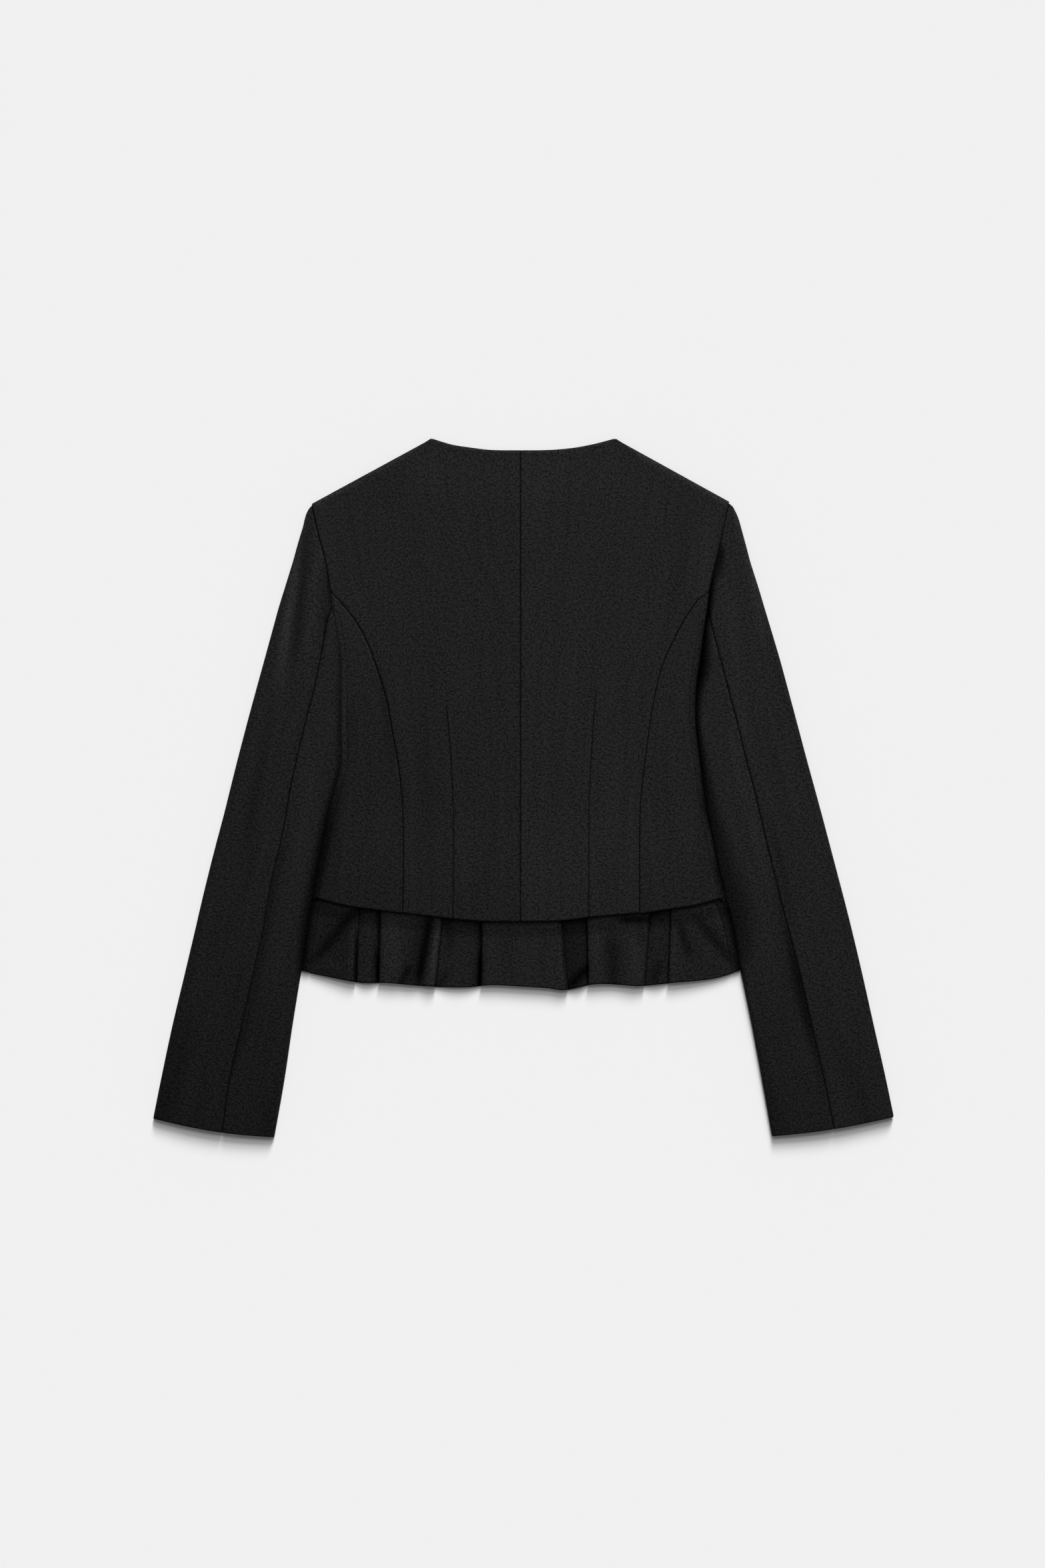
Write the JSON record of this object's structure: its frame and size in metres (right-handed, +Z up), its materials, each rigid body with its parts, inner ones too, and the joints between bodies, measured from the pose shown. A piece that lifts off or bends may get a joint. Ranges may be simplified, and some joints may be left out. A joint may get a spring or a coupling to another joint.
{
  "type": "short jacket laid flat",
  "caption": "Short collarless jacket with set-in sleeves, princess seams and a box-pleated peplum, lying flat with its back up.",
  "frame": {"origin": "on the surface the jacket lies on, under the middle of its whole outline", "axes": "+X to the right as seen from above, across the jacket from cuff to cuff; +Y towards the neck; +Z up from the surface, out of the jacket's back"},
  "size_m": [0.7086, 0.6684, 0.0091],
  "materials": {
    "wool": "matt black wool twill"
  },
  "bodies": {
    "root": {"back_centre_left": "wool", "back_centre_right": "wool", "back_side_left": "wool", "back_side_right": "wool", "front_left": "wool", "front_right": "wool", "sleeve_top_left": "wool", "sleeve_top_right": "wool", "sleeve_under_left": "wool", "sleeve_under_right": "wool", "peplum_back": "wool", "peplum_front_left": "wool", "peplum_front_right": "wool"}
  },
  "joints": []
}
